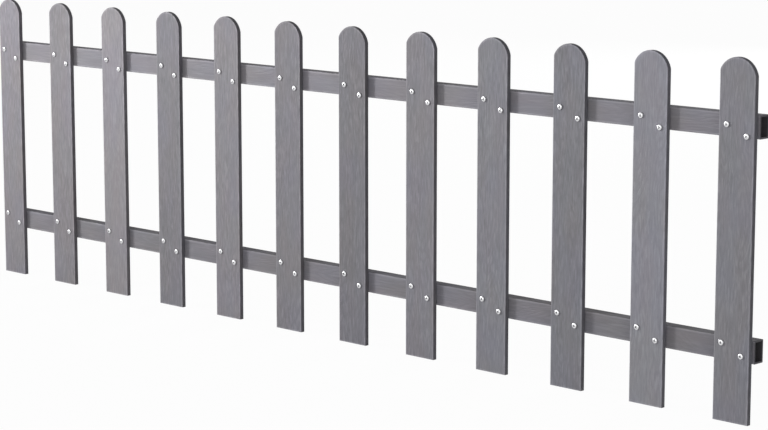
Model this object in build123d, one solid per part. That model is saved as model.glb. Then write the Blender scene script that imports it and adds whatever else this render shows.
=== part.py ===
from build123d import *
from math import sqrt
import os

# Picket fence panel in grey wood-plastic composite, in millimetres.
# X runs along the panel, Y from front to back, Z up.
# The origin is on the back face of the lower rail, at its middle.

# Pickets
picket_count = 12
picket_width = 70.0
picket_thickness = 9.0
picket_height = 600.0
picket_front_radius = 1.2
picket_back_chamfer = 0.8

# Picket heads: one round arc that runs past the board's sides, cut slightly left of its middle
crown_oversize = 2.5
crown_offset = -1.5
shoulder_radius = 10.0

# Rails: hollow box sections, open at both ends
rail_length = 2000.0
rail_height = 39.0
rail_depth = 24.0
rail_wall = 3.0
rail_corner_radius = 1.5
rail_bore_radius = 1.0
rail_spacing = 368.0

# Where the pickets sit on the rails
rail_overhang = 4.0
bottom_to_lower_rail = 121.0

# Planes and steps that follow from the sizes above
rail_front = -rail_depth
picket_front = rail_front - picket_thickness
picket_bottom = -bottom_to_lower_rail
crown_radius = picket_width / 2 + crown_oversize
crown_centre = picket_bottom + picket_height - crown_radius
first_picket = -rail_length / 2 + rail_overhang + picket_width / 2
picket_pitch = -2 * first_picket / (picket_count - 1)


def make_picket():
    """A flat board with a round head and a foot sawn square, standing on the middle of the panel.

    Its outline is rounded over on the front, where it shows, and only broken on the back.
    """
    half = picket_width / 2
    left_rise = sqrt(crown_radius**2 - (half + crown_offset) ** 2)
    right_rise = sqrt(crown_radius**2 - (half - crown_offset) ** 2)
    foot_left = (-half, picket_bottom)
    foot_right = (half, picket_bottom)
    left_shoulder = (-half, crown_centre + left_rise)
    right_shoulder = (half, crown_centre + right_rise)
    crown_top = (crown_offset, crown_centre + crown_radius)
    with BuildPart() as board:
        with BuildSketch(Plane.XZ.offset(-picket_front)) as outline:
            with BuildLine():
                Line(foot_left, foot_right)
                Line(foot_right, right_shoulder)
                ThreePointArc(right_shoulder, crown_top, left_shoulder)
                Line(left_shoulder, foot_left)
            make_face()
            shoulders = outline.vertices().sort_by(Axis.Y)[2:]
            fillet(shoulders, shoulder_radius)
        extrude(amount=-picket_thickness)
        sawn_edges = board.faces().sort_by(Axis.Z)[0].edges()
        front, back = board.faces().filter_by(Axis.Y).sort_by(Axis.Y)
        front_outline = [edge for edge in front.edges() if edge not in sawn_edges]
        back_outline = [edge for edge in back.edges() if edge not in sawn_edges]
        fillet(front_outline, picket_front_radius)
        chamfer(back_outline, picket_back_chamfer)
    return board.part


def make_rail(z):
    """An extruded hollow box, centred on the height z, with its back on the plane Y = 0."""
    middle = (-rail_depth / 2, z)
    with BuildPart() as tube:
        with BuildSketch(Plane.YZ.offset(-rail_length / 2)):
            with Locations(middle):
                RectangleRounded(rail_depth, rail_height, rail_corner_radius)
                RectangleRounded(
                    rail_depth - 2 * rail_wall,
                    rail_height - 2 * rail_wall,
                    rail_bore_radius,
                    mode=Mode.SUBTRACT,
                )
        extrude(amount=rail_length)
    return tube.part


os.makedirs("parts", exist_ok=True)

pieces = {
    "lower_rail": make_rail(0),
    "upper_rail": make_rail(rail_spacing),
}
picket = make_picket()
for number in range(picket_count):
    pieces[f"picket_{number + 1:02d}"] = Pos(first_picket + number * picket_pitch, 0, 0) * picket

for name, piece in pieces.items():
    piece.label = name
    export_step(piece, f"parts/{name}.step")
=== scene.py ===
import bmesh
import bpy
import math
from mathutils import Matrix, Vector


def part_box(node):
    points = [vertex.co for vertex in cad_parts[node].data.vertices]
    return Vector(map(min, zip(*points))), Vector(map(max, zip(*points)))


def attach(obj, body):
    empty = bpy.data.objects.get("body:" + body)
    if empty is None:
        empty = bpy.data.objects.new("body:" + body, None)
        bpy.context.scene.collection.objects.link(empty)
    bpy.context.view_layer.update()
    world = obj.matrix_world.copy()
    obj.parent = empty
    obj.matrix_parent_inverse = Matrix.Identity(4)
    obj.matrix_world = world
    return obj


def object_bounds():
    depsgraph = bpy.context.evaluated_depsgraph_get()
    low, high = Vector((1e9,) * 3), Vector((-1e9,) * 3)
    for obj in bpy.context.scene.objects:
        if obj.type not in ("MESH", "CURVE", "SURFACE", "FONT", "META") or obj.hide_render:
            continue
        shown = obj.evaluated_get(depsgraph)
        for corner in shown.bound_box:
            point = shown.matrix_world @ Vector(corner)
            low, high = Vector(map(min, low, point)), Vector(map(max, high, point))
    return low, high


# A low fence panel: round-headed pickets of grey composite, screwed to two hollow rails.
# In metres. X runs along the panel, Y from front to back, Z up.

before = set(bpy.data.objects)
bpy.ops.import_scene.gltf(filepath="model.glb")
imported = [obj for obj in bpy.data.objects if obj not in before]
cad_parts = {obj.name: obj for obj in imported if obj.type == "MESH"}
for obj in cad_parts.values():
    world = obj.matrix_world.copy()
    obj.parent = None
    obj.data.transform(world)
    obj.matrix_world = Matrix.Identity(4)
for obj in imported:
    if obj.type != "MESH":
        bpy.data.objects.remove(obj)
cad_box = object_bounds()

# The panel, read from its own solids
pickets = sorted(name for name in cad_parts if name.startswith("picket"))
picket_boxes = {name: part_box(name) for name in pickets}
first_low, first_high = picket_boxes[pickets[0]]
picket_front = first_low.y
picket_foot = first_low.z
picket_half_width = (first_high.x - first_low.x) / 2
rails = {"lower": "lower_rail", "upper": "upper_rail"}
rail_boxes = {level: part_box(node) for level, node in rails.items()}
rail_wall = 0.003

# Picket heads: an arc a little wider than the board, set off its middle
crown_oversize = 0.0025
crown_shift = -0.0015
crown_radius = picket_half_width + crown_oversize
crown_centre_z = cad_box[1].z - crown_radius

# Screws, and where they sit on each crossing: across from the picket's middle, up from the rail's
head_radius = 0.0051
head_height = 0.0028
head_rim = 0.0009
recess_reach = 0.0034
recess_width = 0.0017
recess_depth = 0.0022
recess_taper = 0.45
recess_clearance = 0.001
narrowest_share = 0.8
shank_radius = 0.0024
thread_depth = 0.0005
thread_pitch = 0.0018
thread_start = 0.0015
point_length = 0.0035
screw_length = 0.025
screw_turn = math.pi / 2
screw_seed = 7
screw_spots = {
    "upper": ((-0.0195, 0.0015), (0.0200, -0.0155)),
    "lower": ((-0.0205, 0.0100), (0.0190, -0.0075)),
}
dome_steps = 6
lathe_steps = 24
crease_angle = 38

# Composite of wood flour and plastic: two greys, and how bright and how cool each board is
warm_grey = (0.277, 0.260, 0.281)
cool_grey = (0.262, 0.263, 0.293)
board_shades = (0.98, 0.955, 1.07, 0.875, 0.985, 0.90, 0.825, 0.955, 0.99, 0.91, 1.155, 1.01)
board_coolness = (0.2, 0.2, 0.2, 0.5, 0.35, 0.4, 0.5, 0.5, 0.75, 0.75, 0.75, 0.75)
# The lower rail's lower value is painted shade, standing in for the lower rail being lit less than the
# upper one.
rail_tones_with_painted_shade = {"lower": 0.875, "upper": 0.98}
rail_coolness = 0.4
board_figure = 1.0
rail_figure = 0.5
board_to_board = 3.7
narrow_facing = 0.45
wide_facing = 0.85
# Narrow faces are darker, partly as their own unbrushed skin and partly as painted shade where sides and
# tops get less light.
narrow_face_tone_and_painted_shade = 0.46
# Painted shade on the inside walls of the rails' hollow.
bore_painted_shade = 0.4
composite_gloss = 0.2
fibre_roughness = (0.72, 0.54)
narrow_face_roughness = 0.3

# Its patterns, in waves per metre across the grain and along it
brushing_waves = (850, 30)
fibre_waves = (310, 50)
figure_waves = (20, 3)
cloud_waves = (34, 12)
hue_waves = (34, 9)
blue_waves = (16, 11)
worn_waves = (22, 6)
ring_density = 150
ring_raggedness = 0.02

# How strongly they show in its tone, on a ground that is lifted because the pores only darken it
ground_lift = 1.07
brushing_tone = 0.08
fibre_tone = 0.165
pore_tone = 0.13
cloud_tone = 0.025
hue_drift = 0.2
blue_drift = 0.025
worn_strengths = (0.68, 1.1)

# How deep the embossing is, on the wide faces and on the narrow ones
emboss_depth = 0.0009
wide_emboss = 0.6
narrow_emboss = 0.15
pore_relief = 0.4
brushing_relief = 0.3

# Painted highlight along the edges, full to none at these depths in from the edge.
# The highlit strip is narrower by a little at each board's left and foot.
edge_highlight_depth = 0.0022
edge_highlight_end_depth = 0.0040
edge_highlight_tone = 0.33
left_reach = 0.0010
foot_reach = 0.0008

# Zinc plate, bright to this depth in from a head's crown, and darkened with painted shade from this
# height over the board
zinc_white = (1.0, 1.0, 1.02)
zinc_bright = 0.74
zinc_painted_shade = 0.17
bright_depth = 0.0006
painted_shade_height = 0.0002
zinc_metal = 0.9
zinc_roughness = (0.24, 0.4)
bloom_waves = 1400
bloom_tones = (0.88, 1.08)


class Tree:
    """Adds nodes to a node tree and joins them."""

    def __init__(self, tree):
        self.tree = tree

    def add(self, kind, sockets=None, **settings):
        node = self.tree.nodes.new(kind)
        for key, value in settings.items():
            setattr(node, key, value)
        for key, value in (sockets or {}).items():
            self.feed(node.inputs[key], value)
        return node

    def feed(self, socket, value):
        if isinstance(value, bpy.types.NodeSocket):
            self.tree.links.new(value, socket)
        else:
            socket.default_value = value

    def maths(self, operation, a, b=0.0, clamp=False):
        node = self.add("ShaderNodeMath", {0: a, 1: b}, operation=operation, use_clamp=clamp)
        return node.outputs[0]

    def spread(self, value, low, high, to_low, to_high):
        """The stretch from low to high, laid over the one from to_low to to_high and held within it."""
        sockets = {"Value": value, "From Min": low, "From Max": high, "To Min": to_low, "To Max": to_high}
        return self.add("ShaderNodeMapRange", sockets).outputs[0]

    def swing(self, noise, reach, amount):
        """A noise that keeps within reach of a half, as a swing of amount to either side of nothing."""
        return self.spread(noise, 0.5 - reach, 0.5 + reach, -amount, amount)

    def noise(self, place, scale, detail=3.0, roughness=0.55, distortion=0.0):
        sockets = {
            "Vector": place,
            "Scale": scale,
            "Detail": detail,
            "Roughness": roughness,
            "Distortion": distortion,
        }
        return self.add("ShaderNodeTexNoise", sockets).outputs["Fac"]

    def stretched(self, place, offset, scale):
        sockets = {"Vector": place, "Location": offset, "Scale": scale}
        return self.add("ShaderNodeMapping", sockets).outputs[0]

    def scaled(self, colour, level):
        sockets = {0: colour, "Scale": level}
        return self.add("ShaderNodeVectorMath", sockets, operation="SCALE").outputs[0]

    def finish_surface(self, shader):
        output = self.add("ShaderNodeOutputMaterial")
        self.feed(output.inputs["Surface"], shader.outputs[0])


def new_material(name):
    material = bpy.data.materials.new(name)
    material.use_nodes = True
    material.node_tree.nodes.clear()
    return material, Tree(material.node_tree)


def composite(name, along, offset, shade, coolness, figured, edge_distance, bore=None):
    """Grey composite, embossed and brushed along one axis on its wide faces, duller and darker on the
    narrow ones.

    offset moves the patterns, so that no two boards are alike, and figured weakens them on the rails.
    edge_distance and bore measure the piece: how far in from its edges, for their painted highlight, and
    whether inside its hollow, for its painted shade.
    """
    material, t = new_material(name)
    coordinates = t.add("ShaderNodeTexCoord")
    place = coordinates.outputs["Object"]
    facing = t.add("ShaderNodeSeparateXYZ", {0: coordinates.outputs["Normal"]})
    wide = t.spread(t.maths("ABSOLUTE", facing.outputs["Y"]), narrow_facing, wide_facing, 0.0, 1.0)

    def pattern(waves, detail, roughness=0.55, distortion=0.0):
        """A noise that is drawn out along the grain."""
        across, lengthwise = waves
        scale = tuple(lengthwise if axis == along else across for axis in "XYZ")
        return t.noise(t.stretched(place, offset, scale), 1.0, detail, roughness, distortion)

    # Brushed lines, fibres, and pores where the fibres cross the dark rings of a sawn log
    brushing = pattern(brushing_waves, detail=2.0, roughness=0.6)
    fibre_across, fibre_along = fibre_waves
    fibre = pattern((fibre_across, fibre_along * figured), detail=3.0, roughness=0.6, distortion=0.3)
    figure = pattern(figure_waves, detail=1.5, roughness=0.5)
    ragged = t.maths("ADD", figure, t.maths("MULTIPLY", fibre, ring_raggedness))
    rings = t.maths("SINE", t.maths("MULTIPLY", ragged, ring_density))
    dark_rings = t.spread(rings, 0.0, 0.9, 0.0, 1.0)
    pores = t.maths("MULTIPLY", dark_rings, t.spread(fibre, 0.38, 0.6, 0.0, 1.0))

    # Their tone, worn fainter in places, and soft clouds over it
    grain = t.maths("ADD", t.swing(brushing, 0.2, brushing_tone), t.swing(fibre, 0.18, fibre_tone))
    grain = t.maths("SUBTRACT", grain, t.maths("MULTIPLY", pores, pore_tone))
    worn = t.spread(pattern(worn_waves, detail=1.0), 0.35, 0.65, *worn_strengths)
    grain = t.maths("MULTIPLY", grain, t.maths("MULTIPLY", worn, figured))
    cloud = pattern(cloud_waves, detail=2.0, roughness=0.5, distortion=0.4)
    grain = t.maths("ADD", grain, t.swing(cloud, 0.2, cloud_tone))

    # Painted highlight along the edges, with breaks in the line
    edge_highlight = t.spread(edge_distance(t, place), edge_highlight_depth, edge_highlight_end_depth, edge_highlight_tone, 0.0)
    edge_highlight = t.maths("MULTIPLY", edge_highlight, t.spread(fibre, 0.35, 0.65, 0.5, 1.0))

    level = t.maths("ADD", t.maths("ADD", grain, edge_highlight), shade * ground_lift)
    # Narrow faces darkened: partly their own duller skin, partly painted shade.
    level = t.maths("MULTIPLY", level, t.spread(wide, 0.0, 1.0, narrow_face_tone_and_painted_shade, 1.0))
    # Painted shade inside the rails' hollow.
    if bore:
        level = t.maths("MULTIPLY", level, t.spread(bore(t, place), 0.0, 1.0, 1.0, bore_painted_shade))

    # Hue, between the two greys, and a little more or less blue in soft patches
    hue = pattern(hue_waves, detail=0.5)
    coolness_here = t.spread(hue, 0.38, 0.62, coolness - hue_drift, coolness + hue_drift)
    greys = {0: coolness_here, 6: (*warm_grey, 1), 7: (*cool_grey, 1)}
    grey = t.add("ShaderNodeMix", greys, data_type="RGBA").outputs[2]
    more_blue = t.spread(pattern(blue_waves, detail=0.5), 0.35, 0.65, 1 - blue_drift, 1 + blue_drift)
    filter_colour = t.add("ShaderNodeCombineXYZ", {"X": 1.0, "Y": 1.0, "Z": more_blue})
    filtered = t.add("ShaderNodeVectorMath", {0: grey, 1: filter_colour.outputs[0]}, operation="MULTIPLY")

    relief = t.maths("SUBTRACT", fibre, t.maths("MULTIPLY", pores, pore_relief))
    relief = t.maths("ADD", relief, t.maths("MULTIPLY", brushing, brushing_relief))
    emboss = t.spread(wide, 0.0, 1.0, narrow_emboss, wide_emboss)
    bump = t.add("ShaderNodeBump", {"Height": relief, "Strength": emboss, "Distance": emboss_depth})

    roughness = t.spread(fibre, 0.3, 0.7, *fibre_roughness)
    roughness = t.maths("ADD", roughness, t.spread(wide, 0.0, 1.0, narrow_face_roughness, 0.0))
    shader = t.add(
        "ShaderNodeBsdfPrincipled",
        {
            "Base Color": t.scaled(filtered.outputs[0], level),
            "Roughness": roughness,
            "Specular IOR Level": composite_gloss,
            "Normal": bump.outputs[0],
        },
    )
    t.finish_surface(shader)
    return material


def picket_edge(centre_x):
    """Depth in from the outline of the board that is centred on centre_x, crown and long edges alike."""

    def measure(t, place):
        parts = t.add("ShaderNodeSeparateXYZ", {0: place})
        side = t.maths("SUBTRACT", parts.outputs["X"], centre_x)
        rise = t.maths("MAXIMUM", t.maths("SUBTRACT", parts.outputs["Z"], crown_centre_z), 0.0)
        reach = t.add("ShaderNodeCombineXYZ", {"X": t.maths("SUBTRACT", side, crown_shift), "Z": rise})
        length = t.add("ShaderNodeVectorMath", {0: reach.outputs[0]}, operation="LENGTH")
        to_crown = t.maths("SUBTRACT", crown_radius, length.outputs["Value"])
        to_right = t.maths("SUBTRACT", picket_half_width, side)
        to_left = t.maths("ADD", side, picket_half_width + left_reach)
        to_foot = t.maths("SUBTRACT", parts.outputs["Z"], picket_foot - foot_reach)
        nearest = t.maths("MINIMUM", t.maths("MINIMUM", to_left, to_right), to_foot)
        return t.maths("MINIMUM", to_crown, nearest)

    return measure


def rail_edge(low, high):
    """Depth in from the top or bottom edge of the rail that fills the box from low to high."""
    centre_z = (low.z + high.z) / 2
    half_height = (high.z - low.z) / 2

    def measure(t, place):
        height = t.add("ShaderNodeSeparateXYZ", {0: place}).outputs["Z"]
        away = t.maths("ABSOLUTE", t.maths("SUBTRACT", height, centre_z))
        return t.maths("SUBTRACT", half_height, away)

    return measure


def rail_bore(low, high):
    """One on the inside walls of that rail, where painted shade darkens the hollow; none on its outside
    and its sawn ends.
    """
    middle = (low + high) / 2
    half = (high - low) / 2
    end_margin = 0.0001
    wall_margin = 0.0002
    reaches = (half.x - end_margin, half.y - rail_wall + wall_margin, half.z - rail_wall + wall_margin)

    def measure(t, place):
        parts = t.add("ShaderNodeSeparateXYZ", {0: place})
        inside = 1.0
        for axis, centre, reach in zip("XYZ", middle, reaches):
            away = t.maths("ABSOLUTE", t.maths("SUBTRACT", parts.outputs[axis], centre))
            inside = t.maths("MULTIPLY", t.maths("LESS_THAN", away, reach), inside)
        return inside

    return measure


def cover(node, material):
    """Puts the material on all of a node of the frame."""
    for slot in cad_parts[node].material_slots:
        slot.material = material


def finish_pickets():
    for number, node in enumerate(pickets, 1):
        low, high = picket_boxes[node]
        offset = (0, 0, board_to_board * number)
        shade = board_shades[number - 1]
        coolness = board_coolness[number - 1]
        edge = picket_edge((low.x + high.x) / 2)
        finish = node + "_composite"
        cover(node, composite(finish, "Z", offset, shade, coolness, board_figure, edge))


def finish_rails():
    for level, node in rails.items():
        low, high = rail_boxes[level]
        shade = rail_tones_with_painted_shade[level]
        edge = rail_edge(low, high)
        bore = rail_bore(low, high)
        finish = node + "_composite"
        cover(node, composite(finish, "X", (0, 0, 0), shade, rail_coolness, rail_figure, edge, bore))


finish_pickets()
finish_rails()


def zinc():
    """Zinc plate: bright on the heads' crowns, with painted shade in the cross and where the head meets
    the board.
    """
    material, t = new_material("zinc_plate")
    place = t.add("ShaderNodeTexCoord").outputs["Object"]
    bloom = t.noise(place, bloom_waves)
    depth = t.add("ShaderNodeSeparateXYZ", {0: place}).outputs["Y"]
    crown = picket_front - head_height
    # Painted shade: darker down into the cross and towards where the head meets the board.
    tone = t.spread(depth, crown + bright_depth, picket_front - painted_shade_height, zinc_bright, zinc_painted_shade)
    tone = t.maths("MULTIPLY", tone, t.spread(bloom, 0.3, 0.7, *bloom_tones))
    shader = t.add(
        "ShaderNodeBsdfPrincipled",
        {
            "Base Color": t.scaled(zinc_white, tone),
            "Metallic": zinc_metal,
            "Roughness": t.spread(bloom, 0.3, 0.7, *zinc_roughness),
        },
    )
    t.finish_surface(shader)
    return material


def mesh_object(name, shape):
    """An object of its own from a bmesh, which it uses up."""
    mesh = bpy.data.meshes.new(name)
    shape.to_mesh(mesh)
    shape.free()
    piece = bpy.data.objects.new(name, mesh)
    bpy.context.scene.collection.objects.link(piece)
    return piece


def lathe(profile):
    """A closed turned mesh about the Y axis; the profile gives radius and distance along +Y."""
    shape = bmesh.new()
    turns = [2 * math.pi * k / lathe_steps for k in range(lathe_steps)]
    rings = []
    for radius, along in profile:
        around = turns if radius else turns[:1]
        spots = [(radius * math.cos(a), along, radius * math.sin(a)) for a in around]
        rings.append([shape.verts.new(spot) for spot in spots])
    for near, far in zip(rings, rings[1:]):
        for k in range(lathe_steps):
            near_pair = [near[k % len(near)], near[(k + 1) % len(near)]]
            far_pair = [far[(k + 1) % len(far)], far[k % len(far)]]
            shape.faces.new(list(dict.fromkeys(near_pair + far_pair)))
    bmesh.ops.recalc_face_normals(shape, faces=shape.faces)
    return shape


def screw_profile():
    """Half the outline of a pan-head screw, from the crown of its head to its point."""
    dome = head_height - head_rim
    angles = [math.pi / 2 * k / dome_steps for k in range(1, dome_steps + 1)]
    profile = [(0, -head_height)]
    profile += [(head_radius * math.sin(a), -head_rim - dome * math.cos(a)) for a in angles]
    profile += [(head_radius, 0), (shank_radius, 0)]
    thread_end = screw_length - point_length
    root_radius = shank_radius - thread_depth
    along = thread_start
    while along + thread_pitch / 2 < thread_end:
        profile += [(root_radius, along), (shank_radius, along + thread_pitch / 2)]
        along += thread_pitch
    profile += [(root_radius, thread_end), (0, screw_length)]
    return profile


def cross_cutter():
    """Two tapered bars, crossed, that reach from above the head down to the recess's floor."""
    cross = bmesh.new()
    top = -head_height - recess_clearance
    floor = -head_height + recess_depth
    half_width = recess_width / 2
    narrowest = half_width * narrowest_share
    for reach, width in ((recess_reach, half_width), (half_width, recess_reach)):
        for vert in bmesh.ops.create_cube(cross, size=2.0)["verts"]:
            deep = vert.co.y > 0
            taper = recess_taper if deep else 1.0
            x = vert.co.x * max(reach * taper, narrowest)
            z = vert.co.z * max(width * taper, narrowest)
            vert.co = Vector((x, floor if deep else top, z))
    return mesh_object("cross_cutter", cross)


def screw_blank():
    """A pan-head screw: its seat at the origin, its point towards +Y, and a cross cut out of its head."""
    screw = mesh_object("screw_blank", lathe(screw_profile()))
    cutter = cross_cutter()
    cut = screw.modifiers.new("cross", "BOOLEAN")
    cut.operation = "DIFFERENCE"
    cut.solver = "EXACT"
    cut.use_self = True
    cut.object = cutter
    graph = bpy.context.evaluated_depsgraph_get()
    mesh = bpy.data.meshes.new_from_object(screw.evaluated_get(graph))
    screw.modifiers.clear()
    screw.data = mesh
    bpy.data.objects.remove(cutter)
    for face in mesh.polygons:
        face.use_smooth = True
    mesh.set_sharp_from_angle(angle=math.radians(crease_angle))
    return screw


def scatter_tree(blank, material):
    """Geometry Nodes that set one screw on every point, each turned its own way about its shank."""
    group = bpy.data.node_groups.new("screws_on_points", "GeometryNodeTree")
    face = group.interface
    face.new_socket("Points", in_out="INPUT", socket_type="NodeSocketGeometry")
    face.new_socket("Turn", in_out="INPUT", socket_type="NodeSocketFloat")
    face.new_socket("Seed", in_out="INPUT", socket_type="NodeSocketInt")
    face.new_socket("Screws", in_out="OUTPUT", socket_type="NodeSocketGeometry")
    t = Tree(group)
    given = t.add("NodeGroupInput")
    pick = t.add("GeometryNodeObjectInfo", {"Object": blank})
    angle = t.add(
        "FunctionNodeRandomValue",
        {2: 0.0, 3: given.outputs["Turn"], "Seed": given.outputs["Seed"]},
        data_type="FLOAT",
    )
    turn = t.add("ShaderNodeCombineXYZ", {"Y": angle.outputs[1]})
    spin = t.add("FunctionNodeEulerToRotation", {0: turn.outputs[0]})
    instances = t.add(
        "GeometryNodeInstanceOnPoints",
        {
            "Points": given.outputs["Points"],
            "Instance": pick.outputs["Geometry"],
            "Rotation": spin.outputs[0],
        },
    )
    real = t.add("GeometryNodeRealizeInstances", {0: instances.outputs[0]})
    dress = t.add("GeometryNodeSetMaterial", {"Geometry": real.outputs[0], "Material": material})
    t.feed(t.add("NodeGroupOutput").inputs[0], dress.outputs[0])
    return group


def socket_id(group, name):
    return next(item.identifier for item in group.interface.items_tree if item.name == name)


def screw_points():
    """One point on the pickets' front for every screw."""
    points = bmesh.new()
    for name in pickets:
        low, high = picket_boxes[name]
        centre_x = (low.x + high.x) / 2
        for level, spots in screw_spots.items():
            rail_low, rail_high = rail_boxes[level]
            centre_z = (rail_low.z + rail_high.z) / 2
            for across, up in spots:
                points.verts.new((centre_x + across, picket_front, centre_z + up))
    return mesh_object("screw_points", points)


def make_screws():
    blank = screw_blank()
    holder = screw_points()
    group = scatter_tree(blank, zinc())
    scatter = holder.modifiers.new("screws", "NODES")
    scatter.node_group = group
    scatter[socket_id(group, "Turn")] = screw_turn
    scatter[socket_id(group, "Seed")] = screw_seed
    graph = bpy.context.evaluated_depsgraph_get()
    mesh = bpy.data.meshes.new_from_object(holder.evaluated_get(graph))
    bpy.data.objects.remove(holder)
    bpy.data.objects.remove(blank)
    screws = bpy.data.objects.new("screws", mesh)
    bpy.context.scene.collection.objects.link(screws)
    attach(screws, "root")


make_screws()

# Camera: where the photographer stood, level across and tipped a little down
camera_data = bpy.data.cameras.new("camera")
camera_data.sensor_width = 36.0
camera_data.lens = 109.8
camera_data.clip_start = 0.1
camera_data.clip_end = 200
camera_tip = 9.178
camera_turn = 44.209
camera = bpy.data.objects.new("camera", camera_data)
camera.location = (3.1591, -3.1046, 0.8267)
camera.rotation_euler = (math.radians(90 - camera_tip), 0, math.radians(camera_turn))
bpy.context.scene.collection.objects.link(camera)
bpy.context.scene.camera = camera


def softbox(name, place, target, watts, width, spread=180):
    """A round soft lamp at place that points at target; its light spreads over so many degrees."""
    data = bpy.data.lights.new(name, "AREA")
    data.shape = "DISK"
    data.energy = watts
    data.size = width
    data.spread = math.radians(spread)
    light = bpy.data.objects.new(name, data)
    light.visible_camera = False
    light.location = place
    light.rotation_euler = (Vector(target) - Vector(place)).to_track_quat("-Z", "Y").to_euler()
    bpy.context.scene.collection.objects.link(light)


# Studio: the main light stands at the left, with fill from the front, the right and behind
softbox("key_softbox", (-2.6, -1.4, 0.6), (-0.3, 0, 0.2), watts=24.9, width=0.75)
softbox("left_softbox", (-1.9, -1.8, 1.7), (-0.5, 0, 0.3), watts=4.9, width=0.8)
softbox("high_softbox", (-3.6, -2.0, 1.6), (0.2, 0, 1.3), watts=12.5, width=0.6, spread=50)
softbox("front_softbox", (0.3, -4.2, 0.9), (0.1, 0, 0.2), watts=25.7, width=2.5)
softbox("right_softbox", (7.42, -3.0, 0.8), (0, 0, 0.2), watts=84, width=2.0)
softbox("back_softbox", (-1.5, 6.0, 1.2), (0, 0, 0.2), watts=230, width=2.5)
room_light = 0.20
floor_reach = 40
floor_paint = 0.8
floor_white_share = 0.97


def seen_white(t):
    """One where the background is looked at, straight or in a reflection, and none elsewhere."""
    path = t.add("ShaderNodeLightPath")
    seen = t.maths("ADD", path.outputs["Is Camera Ray"], path.outputs["Is Glossy Ray"], clamp=True)
    return t.maths("ADD", seen, path.outputs["Is Transmission Ray"], clamp=True)


def white_room():
    """Soft light from all round that looks white itself."""
    world = bpy.data.worlds.new("studio")
    world.use_nodes = True
    world.node_tree.nodes.clear()
    t = Tree(world.node_tree)
    strength = t.spread(seen_white(t), 0.0, 1.0, room_light, 1.0)
    background = t.add("ShaderNodeBackground", {"Color": (1, 1, 1, 1), "Strength": strength})
    t.feed(t.add("ShaderNodeOutputWorld").inputs["Surface"], background.outputs[0])
    bpy.context.scene.world = world


def floor_finish():
    """White sweep that keeps a faint shadow."""
    material, t = new_material("studio_floor")
    paint = t.add("ShaderNodeBsdfDiffuse", {"Color": (floor_paint, floor_paint, floor_paint, 1)})
    glow = t.add("ShaderNodeEmission", {"Color": (1, 1, 1, 1), "Strength": 1.0})
    share = t.maths("MULTIPLY", seen_white(t), floor_white_share)
    t.finish_surface(t.add("ShaderNodeMixShader", {0: share, 1: paint.outputs[0], 2: glow.outputs[0]}))
    return material


def lay_floor():
    sheet = bmesh.new()
    bmesh.ops.create_grid(sheet, x_segments=1, y_segments=1, size=floor_reach)
    floor = mesh_object("floor", sheet)
    floor.data.transform(Matrix.Translation((0, 0, picket_foot)))
    floor.data.materials.append(floor_finish())


white_room()
lay_floor()

bpy.context.scene.view_settings.view_transform = "Standard"
